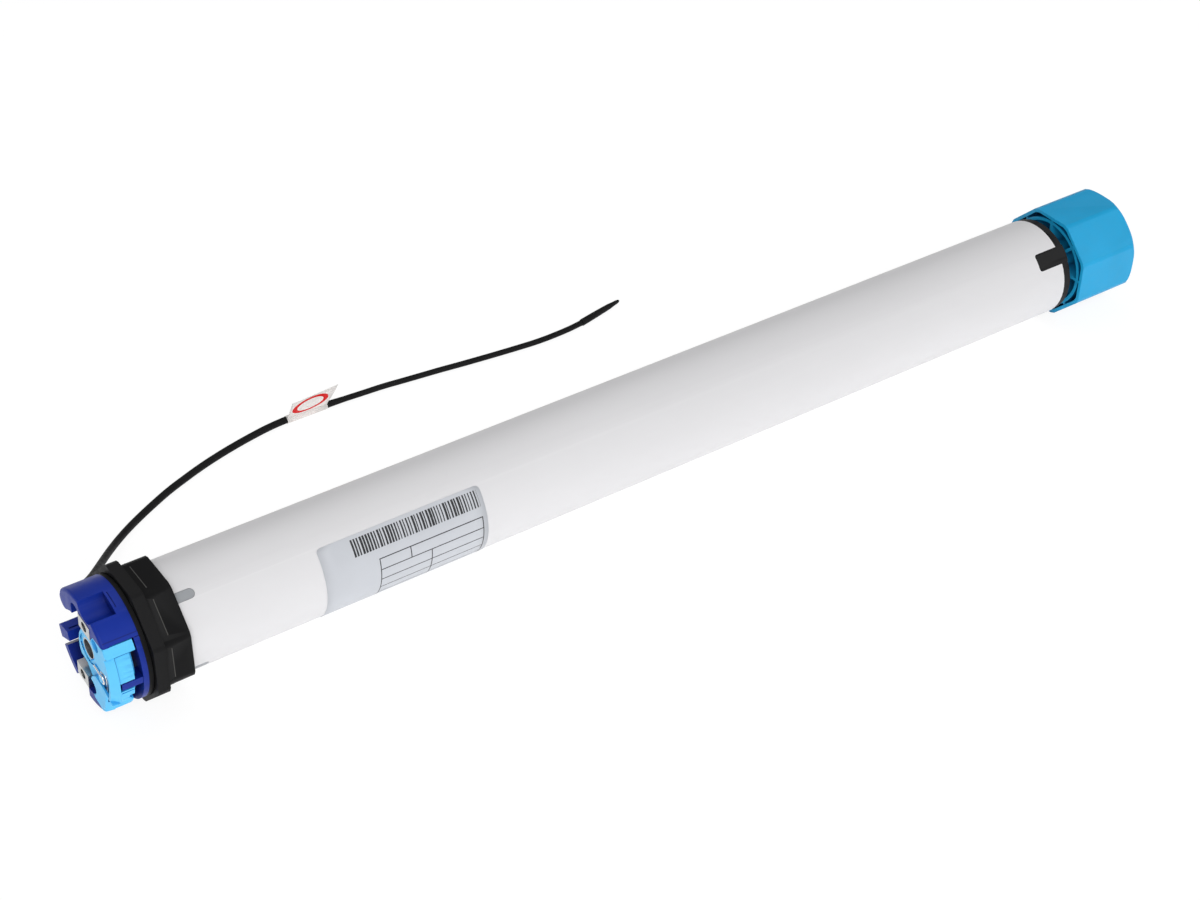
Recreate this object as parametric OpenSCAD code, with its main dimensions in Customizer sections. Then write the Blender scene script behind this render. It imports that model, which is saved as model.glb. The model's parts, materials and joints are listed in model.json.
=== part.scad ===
// Tubular roller blind motor with a radio receiver.
// The origin is on the motor axis at the end face of the head.
// +X runs along the axis to the drive wheel, +Z is up and -Y is the side with the label.
// Angles about the axis run from +Y towards +Z.

/* [Tube] */
// Outside diameter of the motor tube
tube_d = 45; // [44.6:0.1:45.4]
// Wall of the motor tube
tube_wall = 1; // [0.8:0.1:1.1]
// Length of the motor tube
tube_len = 459; // [420:0.5:650]
// Width of the key slots at the head end
slot_w = 4.2; // [3:0.1:6]
// Length of the key slots
slot_len = 19.4; // [12:0.2:22]
// Width of the notches at the drive end
notch_w = 8.3; // [6:0.1:10]
// Length of the notches at the drive end
notch_len = 13.4; // [8:0.1:16]

/* [Head] */
// Outside diameter of the head
head_d = 49.8; // [49:0.1:51]
// Length of the head, end face to neck
head_len = 14.7; // [14.6:0.1:18]
// Thickness of the disc at the back of the head
head_disc = 2.2; // [1.6:0.1:2.4]
// Bore of the bearing socket
socket_d = 8; // [6:0.1:8.4]
// Wall of the steel bush in the socket
bush_wall = 0.6; // [0.4:0.1:0.8]
// Pitch circle of the two captive nuts
nut_pcd = 32; // [31:0.2:33]
// Width of a captive nut
nut_w = 9.4; // [8:0.1:10]
// Height of a captive nut
nut_h = 6.6; // [6:0.1:6.8]
// Length of a captive nut
nut_len = 9; // [6:0.5:11]
// Core diameter of the thread in a captive nut
thread_d = 4.2; // [3.3:0.1:5]
// Diameter of the clip's wire
clip_wire = 0.9; // [0.8:0.1:1.2]

/* [Running ring] */
// Wall of the ring at its flats
ring_wall = 1.25; // [1:0.05:2]
// Height of the stop collar above the ring's flats
collar_step = 2.25; // [1.8:0.05:3.5]
// Length of the stop collar
collar_len = 5; // [4.6:0.1:8]
// Length of the ring behind the collar
barrel_len = 11.3; // [6:0.1:12.5]
// Teeth inside the ring
ring_teeth = 60; // [54:3:63]
// Teeth of the encoder pinion
pinion_teeth = 24; // [23:1:25]

/* [Drive wheel] */
// Size of the wheel across its flats
wheel_af = 48.5; // [47:0.1:52]
// Length of the wheel
wheel_len = 34.2; // [30:0.1:50]
// Gap between the tube and the wheel
wheel_gap = 9.3; // [8.5:0.1:14]
// Wall of the wheel
wheel_wall = 1.6; // [1.2:0.1:2.2]
// Diameter of the output shaft
shaft_d = 12; // [10:0.5:12]

/* [Gear train] */
// Pitch diameter of the teeth inside the gear housing
internal_pitch_d = 35.1; // [33:0.1:35.6]
// Teeth of each sun pinion
sun_teeth = 12; // [12:3:15]
// Teeth of each planet
planet_teeth = 21; // [18:3:24]
// Diameter of the planet pins
planet_pin_d = 3.5; // [2.5:0.1:5]
// Face width of the first stage
stage1_w = 10.5; // [8:0.5:12]
// Face width of the second stage
stage2_w = 13; // [10:0.5:15]
// Face width of the last stage
stage3_w = 16; // [12:0.5:18]

/* [Motor] */
// Length of the stator core
stator_len = 70; // [50:1:80]
// Diameter of the rotor core
rotor_d = 23; // [20:0.5:24]
// Diameter of the rotor shaft
rotor_shaft_d = 7; // [6:0.1:7]
// Length of the brake compartment
brake_len = 26; // [26:0.5:32]
// Travel of the brake armature
brake_travel = 0.4; // [0.2:0.1:0.8]

/* [Electronics] */
// Width of the control board
board_w = 35; // [30:0.5:36]
// Diameter of the run capacitor
capacitor_d = 34; // [28:0.5:34]
// Length of the run capacitor
capacitor_len = 57; // [40:1:57]

/* [Antenna] */
// Diameter of the antenna wire up to the flag
wire_d = 3.2; // [2.4:0.1:3.6]
// Diameter of the wire beyond the flag
thin_d = 2.7; // [2:0.1:3]
// Length of the sleeve on the wire's end
sleeve_len = 26; // [14:1:30]
// Side of the flag label
flag_side = 20; // [14:1:24]

/* [Label] */
// Start of the rating label behind the end face
label_x = 91.1; // [60:0.1:200]
// Length of the rating label
label_len = 73.4; // [40:0.1:100]
// Width of the rating label round the tube
label_w = 50; // [30:0.5:60]
// Thickness of the rating label
label_t = 0.12; // [0.1:0.01:0.2]

/* [Clearances] */
// Radial clearance of pieces pushed into the tube
push_gap = 0.1; // [0.05:0.01:0.2]
// Radial clearance of a running fit
run_fit = 0.05; // [0.03:0.01:0.1]
// Radial clearance of a press fit
press_gap = 0.01; // [0.005:0.005:0.02]
// Clearance between pieces that move past each other
free_gap = 0.4; // [0.3:0.05:0.6]
// Backlash of the gears
backlash = 0.12; // [0.1:0.01:0.16]

/* [Hidden] */
$fn = 96;

// Radii in and around the tube
tube_r = tube_d / 2;
tube_ri = tube_r - tube_wall;
inner_r = tube_ri - push_gap;
head_r = head_d / 2;
octagon_angle = 22.5;
octagon_corner = 0.5;
ring_gap = 0.5;
ring_af = tube_d + 2 * ring_gap + 2 * ring_wall;
collar_af = ring_af + 2 * collar_step;

// Places along the axis, from the head
flange_len = 1.9;
ring_x0 = head_len + flange_len + free_gap / 2;
collar_x1 = ring_x0 + collar_len;
ring_x1 = collar_x1 + barrel_len;
tube_x0 = collar_x1;
tube_x1 = tube_x0 + tube_len;
chassis_wall = 2.5;
chassis_len = 37.5;
chassis_x1 = tube_x0 + chassis_len;
seal_x = chassis_x1 - 12;
seal_depth = 1.5;
label_gap = 0.05;
slot_angles = [34, 124, 214, 304];
notch_angles = [137, 317];
notch_rounding = 1.4;

// Places along the axis, back from the drive end
cap_flange = 4;
cap_depth = notch_len + 0.6;
cap_x0 = tube_x1 - cap_depth;
wheel_x0 = tube_x1 + wheel_gap;
wheel_x1 = wheel_x0 + wheel_len;
carrier_gap = 2;
disc1_t = 4.5;
disc2_t = 5;
disc3_t = 6;
stage3_x1 = cap_x0 - carrier_gap - disc3_t;
stage3_x0 = stage3_x1 - stage3_w - 2 * free_gap;
stage2_x1 = stage3_x0 - disc2_t;
stage2_x0 = stage2_x1 - stage2_w - 2 * free_gap;
stage1_x1 = stage2_x0 - disc1_t;
stage1_x0 = stage1_x1 - stage1_w - 2 * free_gap;
cover_t = 6;
cover_x0 = stage1_x0 - cover_t;
brake_x0 = cover_x0 - brake_len;
shield_t = 9;
winding_len = 13;
stator_x1 = brake_x0 - shield_t - winding_len;
stator_x0 = stator_x1 - stator_len;
rear_shield_x0 = stator_x0 - winding_len - shield_t;

// Gear data shared by the three planet stages and the encoder
pressure_angle = 25;
addendum = 0.8;
dedendum = 1;
internal_teeth = sun_teeth + 2 * planet_teeth;
gear_module = internal_pitch_d / internal_teeth;
internal_tip_r = gear_module * (internal_teeth / 2 - addendum);
planet_orbit = gear_module * (sun_teeth + planet_teeth) / 2;
planet_pin_r = planet_pin_d / 2;
carrier_r = internal_tip_r - 0.5;
planet_turn = planet_teeth % 2 == 0 ? 180 / planet_teeth : 0;
internal_turn = planet_teeth % 2 == 0 ? 180 / internal_teeth : 0;
planet_angles = [0, 120, 240];
ring_pitch_d = 48;
encoder_module = ring_pitch_d / ring_teeth;
pinion_orbit = encoder_module * (ring_teeth - pinion_teeth) / 2;
pinion_angle = 240;
pinion_tip_r = encoder_module * (pinion_teeth / 2 + addendum);

// Running ring and its neck
ring_tip_r = encoder_module * (ring_teeth / 2 - addendum);
flange_r = head_r - 0.2;
journal_r = 23.9;
bead_r = 24.6;
neck_r = ring_tip_r - 0.46;
neck_bore_r = 8;
lip_len = 0.8;
bead_x0 = ring_x0 + lip_len + 0.3;
bead_len = 0.6;
teeth_x0 = bead_x0 + bead_len + 0.3;
teeth_x1 = collar_x1 - 0.3;
axle_r = 1;
hub_r = 3.2;
hub_len = 7;
magnet_len = 3;

// Head face: places in the plane of the end face
notch_top = [3, 17.2];
notch_top_r = 3.6;
notch_low = [-3, -15.4];
notch_low_r = 3.7;
nut_angle = 106.7;
nut_turn = 7;
nut_proud = 0.2;
scoop_angle = 104.8;
scoop_orbit = 26.4;
scoop_r = 6.1;
scoop_len = 10.3;
insert_len = 10.6;
insert_front = 3.2;
insert_rounding = 0.5;
insert_body_r = head_r - 3.5;
insert_root_r = head_r - 6;
insert_bevel = 2.3;
low_side_depth = 1.6;
panel_x1 = 9.3;
recess_depth = 2;
recess_r = 6.4;
recess_side = [-5.6, 5.3];
recess_side_r = 4.9;
bush_r = socket_d / 2 + bush_wall;
clip_centre = [-13.5, -3.9];
clip_loop_r = 2.2;
clip_x = clip_wire / 2 - nut_proud;
clip_turns = 1.25;
clip_pitch = clip_wire + 0.2;
clip_leg_x = clip_x + clip_pitch * clip_turns;
clip_depth = clip_leg_x + clip_wire / 2 + 0.3;
clip_lip = clip_leg_x - clip_wire / 2 - 0.35;
clip_leg = 9.8;
clip_lean = 2.6;
clip_arm = 5;
clip_rise = 0.8;
lobe_rounding = 1.2;
lobe_web_x = 7;
side_lobes = [[15.5, -23, -8], [20.6, -60, -31], [19.5, 245, 273]];
block_angles = [100, 146];
block_r = 12.2;
bar_angles = [181.5, 189];
bar_x0 = 4;
strip_angles = [142, 152.6];
wire_web = [8.2, 20.3, -14, 28];
socket_box = [11.2, -2, 8.8, 11];
socket_x0 = 9.5;
socket_wall = 1.2;
socket_floor = 2.4;
screw_r = 1.5;
screw_orbit = 16;
screw_head_r = 2.4;
screw_head_t = 2;
screw_boss_r = 3;
screw_x0 = 6;
screw_angles = [54, 318];

// Output
shaft_r = shaft_d / 2;
shaft_flat = shaft_r - 1;
bearing_w = 5;
bearing_r = shaft_r + 4.5;
boss_r = bearing_r + 2.6;
boss_x1 = wheel_x0 - 0.7;
seal_w = 2.6;
hub_seat = 4.8;
shaft_x1 = wheel_x1 - hub_seat - 0.2;
fixing_r = 2.5;
fixing_len = 12;

// Board and what stands on it
board_x0 = chassis_x1 + 6;
board_z = -6;
board_t = 1.6;
board_top = board_z + board_t;
carrier_wall = 1.5;
electronics_gap = 1;
carrier_len = rear_shield_x0 - chassis_x1 - electronics_gap;
capacitor_x0 = chassis_x1 + carrier_len - capacitor_len - 4;
board_len = capacitor_x0 - 7 - board_x0;
connector_size = [10, 18, 8.4];
relay_size = [18, 10.2, 15.4];
transformer_size = [22, 22, 18.4];
radio_size = [14, 18, 3.4];
lead_r = 0.8;
lead_z = inner_r - 2;
lead_ys = [-4, 0, 4];

// Antenna: exit from the head, and the route of the wire along its centre line
wire_r = wire_d / 2;
thin_r = thin_d / 2;
grommet_x = 11.3;
grommet_z = 4;
grommet_y0 = 20.6;
grommet_y1 = 28.6;
grommet_r = wire_r + 1.2;
wire_route = [
  [11.3, 28.6, 4], [12.6, 30.4, 3], [15.2, 33.4, 1], [18.8, 38, -2], [22.8, 43.7, -5.5],
  [26.9, 49.9, -9], [33.5, 59.9, -14.5], [41, 69.9, -19.2], [48.5, 78.2, -22.4],
  [56.2, 84.9, -24.2], [64, 89.8, -24.6], [71.5, 93.8, -24.6], [80.6, 98.2, -24.5],
  [89.9, 102, -24.5], [99.3, 105.4, -24.4], [108.9, 108.4, -24.4], [118.5, 110.8, -24.3],
  [128.2, 112.9, -24.3], [137.8, 114.4, -24.2], [147.2, 115.1, -24.2], [156.6, 115.3, -24.2],
  [165.9, 115.1, -24.2], [175.4, 114.7, -24.3], [184.9, 114.1, -24.3], [194.4, 113.4, -24.2],
  [203.9, 112.3, -24.2], [213.4, 111.2, -24.2], [222.9, 110, -24.1], [232.5, 108.7, -24.1],
  [242.1, 107.4, -24], [251.9, 106.3, -24], [261.7, 105.2, -23.9], [271.7, 104.4, -23.9],
  [282.1, 104.3, -23.8], [290.4, 104.8, -23.8], [297.5, 105.7, -23.8]
];
sleeve_end = [324.5, 111.6, -23.6];
sleeve_start = 0.2;
flag_x0 = 146;
flag_y = 115;
flag_z = -24.2;
flag_lean = 125;
thin_x = flag_x0 + flag_side;

// Shared shapes
function polar(r, a) = [r * cos(a), r * sin(a)];

module along_x(x) {
  translate([x, 0, 0]) rotate([90, 0, 90]) children();
}

module disc(x0, x1, r) {
  along_x(x0) cylinder(h = x1 - x0, r = r);
}

module pipe(x0, x1, r_out, r_in) {
  along_x(x0) difference() {
    cylinder(h = x1 - x0, r = r_out);
    translate([0, 0, -1]) cylinder(h = x1 - x0 + 2, r = r_in);
  }
}

module prism(x0, x1) {
  along_x(x0) linear_extrude(height = x1 - x0) children();
}

module octagon(af) {
  corner_r = af / 2 / cos(octagon_angle);
  intersection() {
    rotate(octagon_angle) circle(r = corner_r, $fn = 8);
    circle(r = corner_r - octagon_corner);
  }
}

module sector(r, a0, a1) {
  steps = ceil((a1 - a0) / 45);
  intersection() {
    circle(r = r);
    polygon(concat([[0, 0]], [for (i = [0:steps]) polar(2 * r, a0 + (a1 - a0) * i / steps)]));
  }
}

module ring_sector(r_out, r_in, a0, a1) {
  difference() {
    sector(r_out, a0, a1);
    circle(r = r_in);
  }
}

// Involute gear outline with a tooth centred on angle 0; thin takes metal off each tooth
function involute(a) = tan(a) * 180 / PI - a;
function half_tooth(r, z, m, thin) =
  90 / z - thin / (m * z) * 90 / PI + involute(pressure_angle)
  - involute(acos(min(1, m * z / 2 * cos(pressure_angle) / r)));
function tooth_radii(z, m, add, ded) =
  let (base = m * z / 2 * cos(pressure_angle), root = m * (z / 2 - ded), tip = m * (z / 2 + add),
    low = max(base, root)) [low, (2 * low + tip) / 3, (low + 2 * tip) / 3, tip];
function gear_points(z, m, add, ded, thin) =
  let (radii = tooth_radii(z, m, add, ded), root = m * (z / 2 - ded))
  [for (i = [0:z - 1]) let (at = 360 * i / z) each concat(
    [polar(root, at - half_tooth(radii[0], z, m, thin))],
    [for (r = radii) polar(r, at - half_tooth(r, z, m, thin))],
    [for (k = [3:-1:0]) polar(radii[k], at + half_tooth(radii[k], z, m, thin))],
    [polar(root, at + half_tooth(radii[0], z, m, thin))])];

module gear(z, m) {
  polygon(gear_points(z, m, addendum, dedendum, backlash / 2));
}

module internal_gear_cut(z, m) {
  polygon(gear_points(z, m, dedendum, addendum, -backlash / 2));
}

// Tube of flat-sided rings swept along a route of points
function unit(v) = v / norm(v);
function heading(p, i) = unit(p[min(i + 1, len(p) - 1)] - p[max(i - 1, 0)]);
function side_of(d) = unit(cross(d, abs(d[2]) > 0.9 || abs(d[0]) < 0.5 ? [1, 0, 0] : [0, 0, 1]));
module swept_tube(route, radii, sides) {
  last = len(route) - 1;
  rings = [for (i = [0:last]) let (d = heading(route, i), s = side_of(d), u = cross(s, d))
    for (k = [0:sides - 1]) route[i] + radii[i] * (cos(360 * k / sides) * s + sin(360 * k / sides) * u)];
  walls = [for (i = [0:last - 1]) for (k = [0:sides - 1]) let (a = i * sides + k,
    b = i * sides + (k + 1) % sides) each [[a, b, b + sides], [a, b + sides, a + sides]]];
  first_cap = [for (k = [1:sides - 2]) [0, k + 1, k]];
  last_cap = [for (k = [1:sides - 2]) [last * sides, last * sides + k, last * sides + k + 1]];
  polyhedron(rings, concat(walls, first_cap, last_cap));
}

// Tube and label
module slot_cut(width, from_x) {
  nose_x = tube_x0 + slot_len - slot_w / 2;
  for (a = slot_angles) rotate([a - 90, 0, 0]) linear_extrude(height = tube_d) {
    translate([from_x, -width / 2]) square([nose_x - from_x, width]);
    translate([nose_x, 0]) circle(r = width / 2);
  }
}

module motor_tube() {
  color("white") difference() {
    pipe(tube_x0, tube_x1, tube_r, tube_ri);
    slot_cut(slot_w, tube_x0 - 1);
    notch_keys(0, tube_x1 + 1);
  }
}

// Keys of the drive end, with rounded inner corners
module notch_keys(gap, to_x) {
  x0 = tube_x1 - notch_len + gap;
  w = notch_w - 2 * gap;
  r = notch_rounding - gap;
  for (a = notch_angles) rotate([a - 90, 0, 0]) linear_extrude(height = tube_d) {
    translate([x0 + r, -w / 2]) square([to_x - x0 - r, w]);
    translate([x0, r - w / 2]) square([2 * r, w - 2 * r]);
    for (side = [-1, 1]) translate([x0 + r, side * (w / 2 - r)]) circle(r = r);
  }
}

module rating_label() {
  top_angle = 130.7;
  span = label_w / (2 * PI * tube_r) * 360;
  color("lightgray") prism(label_x, label_x + label_len)
    ring_sector(tube_r + label_gap + label_t, tube_r + label_gap, top_angle, top_angle + span);
}

// Head
module screw_places() {
  for (a = screw_angles) rotate([a, 0, 0]) translate([0, screw_orbit, 0]) children();
}

module nut_place(side) {
  rotate(side * 180) translate(polar(nut_pcd / 2, nut_angle)) rotate(nut_turn) children();
}

// Edge of the bearing insert: place, and the side on which the housing stands clear of it
insert_edge = [
  [[-8.4, 11.3], [0, 1]], [[-9.4, 12.6], [1, 1]], [[-11.8, 15.3], [1, 1]], [[-30, 14.6], [0, 1]],
  [[-30, -26], [0, 0]], [[-11.2, -26], [1, 0]], [[-10.8, -21.6], [1, -1]], [[-4.6, -20.3], [1, -1]],
  [[-0.6, -12.4], [1, 0]], [[2.4, -8.4], [1, -1]], [[7.2, -7.2], [1, -1]], [[8.2, -5.6], [1, 0]],
  [[8.2, -1], [1, 0]], [[6.6, 3.6], [1, 0]], [[1.2, 11.3], [1, 1]]];

module insert_outline(gap) {
  polygon([for (p = insert_edge) p[0] + gap * p[1]]);
}

module insert_plan() {
  difference() {
    intersection() {
      circle(r = head_r - push_gap);
      insert_outline(0);
    }
    translate(notch_low) circle(r = notch_low_r);
  }
}

module clip_opening() {
  polygon([[-8.2, 3.6], [-11, 2.5], [-14.3, 1.7], [-18.7, 2.1], [-20.4, 2.2], [-21.5, 1.2],
    [-21.2, -2.9], [-19.4, -9.4], [-16.5, -8.3], [-11.5, -6.9], [-8.4, -6.6], [-5, -3.4]]);
}

// Room for the clip's leg behind the lip of its opening
module leg_room() {
  polygon([[-13, -6], [-12.1, -14.4], [-16.3, -14.4], [-17.6, -6]]);
}

// Lower side of the insert's face, beside the socket
module low_side() {
  polygon([[-4.2, 12], [14, 12], [14, -14], [-2, -14], [-4.6, -9.3], [-8.4, -6.6], [-5, -3.4], [0, 0]]);
}

module recess_plan() {
  circle(r = recess_r);
  translate(recess_side) circle(r = recess_side_r);
}

// Cut beyond a plane that starts at a distance from the axis on the end face and rises along X
module slope_cut(angle, start, rise, length, side0, side1) {
  rotate([angle, 0, 0]) translate([0, 0, side0]) linear_extrude(height = side1 - side0)
    polygon([[-1, start - rise / length], [length, start + rise], [length, head_d], [-1, head_d]]);
}

// Bevel round the front edge between two angles
module front_bevel(depth, length, from, to) {
  r = head_r - push_gap;
  intersection() {
    prism(-2, length + 1) ring_sector(head_r + 1, insert_root_r, from, to);
    along_x(0) rotate_extrude() polygon([[r - depth * (1 + 1 / length), -1], [r, length],
      [head_r + 3, length], [head_r + 3, -1]]);
  }
}

module lobes_plan() {
  difference() {
    union() {
      polygon([[13, 11.4], [8, 13.9], [-8, 13.9], [-8, 30], [12, 30], [12.5, 27], [15.2, 20.5], [16.9, 15.2]]);
      translate([13.7, 14.7]) circle(r = 3.4);
    }
    translate(notch_top) circle(r = notch_top_r);
    translate([-9, 12]) square([9 + notch_top[0] + notch_top_r, notch_top[1] - 12]);
  }
  ring_sector(head_d, block_r, block_angles[0], block_angles[1]);
  difference() {
    for (lobe = side_lobes) ring_sector(head_d, lobe[0], lobe[1], lobe[2]);
    polygon([[20.6, -2], [30, -2], [30, -7], [25.2, -6.4], [23.6, -4.2]]);
  }
}

// Half outline of the head with a rounded front edge
function head_outline(r, rounding) = concat([[0, 0]],
  [for (a = [-90:15:0]) [r - rounding, rounding] + polar(rounding, a)],
  [[r, head_len], [0, head_len]]);

// Space for the bearing insert
module insert_space_plan() {
  intersection() {
    circle(r = head_r + 2);
    insert_outline(push_gap);
  }
}

module socket_outline(gap) {
  translate([socket_box[0] - gap, socket_box[1] - gap])
    square([socket_box[2] + 2 * gap, socket_box[3] + 2 * gap]);
}

module nut_plan(gap) {
  for (side = [0, 1]) nut_place(side) square([nut_w + 2 * gap, nut_h + 2 * gap], center = true);
}

module head_lobes() {
  intersection() {
    prism(0, head_len) lobes_plan();
    along_x(0) rotate_extrude() polygon(head_outline(head_r, lobe_rounding));
  }
  prism(lobe_web_x, head_len)
    ring_sector(head_r - 0.6, side_lobes[0][0] - 2.5, side_lobes[1][1] + 4, side_lobes[0][2] - 4);
  prism(wire_web[0], head_len) ring_sector(head_r - 0.6, wire_web[1], wire_web[2], wire_web[3]);
}

module head_housing() {
  disc_x = head_len - head_disc;
  color("mediumblue") difference() {
    union() {
      difference() {
        union() {
          head_lobes();
          disc(disc_x, head_len, head_r - 0.3);
          screw_places() disc(screw_x0 - 1.5, head_len - 0.5, screw_boss_r);
        }
        prism(-1, disc_x) insert_space_plan();
      }
      prism(bar_x0, disc_x + 1) ring_sector(head_r - 0.6, 18, bar_angles[0], bar_angles[1]);
    }
    prism(-1, nut_len) nut_plan(push_gap);
    prism(-1, head_len - 4) translate(notch_top) circle(r = notch_top_r);
    prism(-1, scoop_len) translate(polar(scoop_orbit, scoop_angle)) circle(r = scoop_r);
    prism(scoop_len + 0.9, scoop_len + 1.3) ring_sector(head_r + 1, head_r - 0.35, 94, 112);
    prism(3, head_len) ring_sector(head_r + 1, head_r - 0.35, 141.9, 142.7);
    translate([1.4, 16.8, -6]) cube([4.6, 0.9, 6]);
    prism(-1, head_len + 1) socket_outline(push_gap);
    disc(disc_x - 1, head_len + 1, neck_bore_r - 1);
    screw_places() disc(screw_x0 - 0.5, head_len + 1, screw_r);
    translate([grommet_x, grommet_y0, grommet_z]) rotate([-90, 0, 0])
      cylinder(h = grommet_y1 - grommet_y0, r = grommet_r + press_gap);
  }
}

// Bearing insert: front plate, body, strip beside the block, panel and lower part round its side
module insert_solid() {
  prism(0, insert_front) insert_plan();
  prism(0, insert_len) intersection() {
    insert_plan();
    circle(r = insert_body_r);
  }
  prism(0, insert_len + 1.2) intersection() {
    insert_plan();
    ring_sector(head_r, insert_root_r, strip_angles[0], strip_angles[1]);
  }
  prism(insert_front + 0.3, panel_x1)
    ring_sector(head_r - 0.8, insert_root_r, strip_angles[1] + 0.9, bar_angles[0] - 0.8);
  prism(0, panel_x1 - 0.5) intersection() {
    insert_plan();
    ring_sector(head_r - 0.4, insert_root_r, bar_angles[1] + 0.8, 243);
  }
}

module bearing_insert() {
  color("skyblue") difference() {
    intersection() {
      insert_solid();
      along_x(0) rotate_extrude() polygon(head_outline(head_r - push_gap, insert_rounding));
    }
    prism(-1, recess_depth) recess_plan();
    disc(-1, insert_len + 2, bush_r + press_gap);
    prism(-1, 4) translate([-12.7, 12]) circle(r = 2.8);
    difference() {
      prism(-1, clip_depth) clip_opening();
      prism(-2, clip_depth + 1) translate(clip_centre)
        circle(r = clip_loop_r - clip_wire / 2 - 2 * run_fit);
    }
    prism(insert_front + 0.4, insert_len + 2)
      ring_sector(head_r + 1, 17.8, bar_angles[0] - 0.5, bar_angles[1] + 0.5);
    prism(clip_lip, clip_depth - 0.2) leg_room();
    prism(-1, low_side_depth) low_side();
    front_bevel(insert_bevel, insert_front + 0.1, strip_angles[1], 206);
    slope_cut(196.8, 18.6, 5.3, 8.6, 4.2, 22);
    prism(insert_front + 0.4, panel_x1) ring_sector(head_r + 1, head_r - 1.2, 191.6, 192.8);
    prism(-1, nut_len) nut_plan(push_gap);
    prism(panel_x1 - 2.4, panel_x1 + 1) ring_sector(head_r, 22.6, 199, 208);
  }
}

module socket_bush() {
  color("silver") pipe(recess_depth, insert_len, bush_r, socket_d / 2);
}

module captive_nuts() {
  color("lightgray") for (side = [0, 1]) prism(-nut_proud, nut_len - 0.2) nut_place(side) difference() {
    square([nut_w, nut_h], center = true);
    circle(r = thread_d / 2);
  }
}

// Wire from the leg, round the loop one turn and a quarter, and on to the arm
module retaining_clip() {
  turn = 360 * clip_turns;
  steps = 30;
  loop = [for (i = [0:steps]) let (p = clip_centre + polar(clip_loop_r, 180 - turn * i / steps))
    [clip_leg_x - clip_pitch * clip_turns * i / steps, p[0], p[1]]];
  leg = [for (s = [1, 0.66, 0.33])
    [clip_leg_x, clip_centre[0] - clip_loop_r + clip_lean * s, clip_centre[1] - clip_leg * s]];
  arm = [for (s = [0.5, 1])
    [clip_x, clip_centre[0] + clip_arm * s, clip_centre[1] + clip_loop_r + clip_rise * s]];
  color("silver") swept_tube(concat(leg, loop, arm), [for (i = [0:steps + 5]) clip_wire / 2], 8);
}

module bearing_neck() {
  color("black") difference() {
    union() {
      disc(head_len, head_len + flange_len, flange_r);
      disc(head_len, bead_x0, journal_r);
      disc(bead_x0, bead_x0 + bead_len, bead_r);
      disc(bead_x0, collar_x1, neck_r);
    }
    disc(head_len - 1, collar_x1 + 1, neck_bore_r);
    prism(head_len - 1, collar_x1 + 1) socket_outline(push_gap);
    pinion_place() disc(teeth_x0 - 0.3, collar_x1 + 1, pinion_tip_r + free_gap);
    pinion_place() disc(head_len + 1, collar_x1, axle_r + press_gap);
    screw_places() disc(head_len - 1, collar_x1 + 1, screw_r);
  }
}

module running_ring() {
  mark = [0.35, 14.4, 0.15];
  color("#2a2a2a") {
    difference() {
      union() {
        prism(ring_x0, collar_x1) octagon(collar_af);
        prism(ring_x0, ring_x1) octagon(ring_af);
        for (a = [0:45:315]) rotate([a, 0, 0])
          translate([collar_x1 + 3, -mark[1] / 2, ring_af / 2 - mark[2]])
            cube([mark[0], mark[1], 2 * mark[2]]);
      }
      disc(ring_x0 - 1, ring_x1 + 1, tube_r + ring_gap);
      disc(ring_x0 - 1, teeth_x0, journal_r + run_fit);
      disc(ring_x0 + lip_len, teeth_x0, bead_r + 0.3);
      along_x(ring_x0 - 0.01) cylinder(h = 0.61, r1 = journal_r + run_fit + 0.9, r2 = journal_r + run_fit);
      prism(teeth_x0, teeth_x1) rotate(pinion_angle) internal_gear_cut(ring_teeth, encoder_module);
    }
  }
}

module head_chassis() {
  front_x = tube_x0 + chassis_wall;
  color("gray") difference() {
    union() {
      disc(tube_x0, chassis_x1, inner_r);
      intersection() {
        pipe(tube_x0, chassis_x1, tube_r - 0.1, inner_r - 1);
        slot_cut(slot_w - 2 * push_gap, tube_x0 - 1);
      }
    }
    disc(front_x, chassis_x1 + 1, inner_r - 3.4);
    disc(front_x, front_x + 6, inner_r - 1.6);
    disc(tube_x0 - 1, front_x + 1, neck_bore_r);
    pinion_place() disc(tube_x0 - 1, front_x + 1, hub_r + free_gap);
    screw_places() disc(tube_x0 - 1, front_x + 1, screw_r);
    pipe(seal_x - 1, seal_x + 1, inner_r + 1, inner_r - seal_depth);
  }
}

module head_seal() {
  color("dimgray") along_x(seal_x) rotate_extrude()
    translate([inner_r - seal_depth / 2 + 0.03, 0]) circle(r = seal_depth / 2);
}

module head_screws() {
  head_x = tube_x0 + chassis_wall;
  color("silver") screw_places() {
    disc(screw_x0, head_x, screw_r - press_gap);
    disc(head_x, head_x + screw_head_t, screw_head_r);
  }
}

module cable_socket() {
  x1 = collar_x1 - 0.2;
  color("#202020") difference() {
    prism(socket_x0, x1) socket_outline(0);
    prism(socket_x0 - 1, x1 - socket_floor) socket_outline(-socket_wall);
    contact_places() disc(x1 - socket_floor - 1, x1 + 1, 0.6 + press_gap);
  }
}

module contact_places() {
  for (i = [0:3]) translate([0, socket_box[0] + socket_box[2] / 2 - 1.6 + 3.2 * (i % 2),
    socket_box[1] + socket_box[3] / 2 - 2 + 4 * floor(i / 2)]) children();
}

module contact_pins() {
  color("gold") contact_places() disc(15.4, collar_x1 - 0.2, 0.6);
}

// Antenna
module antenna_grommet() {
  color("#181818") translate([grommet_x, 0, grommet_z]) rotate([-90, 0, 0]) difference() {
    translate([0, 0, grommet_y0]) union() {
      cylinder(h = 4, r = grommet_r);
      translate([0, 0, 4]) cylinder(h = grommet_y1 - grommet_y0 - 4.4, r1 = grommet_r, r2 = wire_r + 0.5);
    }
    translate([0, 0, grommet_y1 - 4]) cylinder(h = 8, r = wire_r + press_gap);
  }
}

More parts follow.
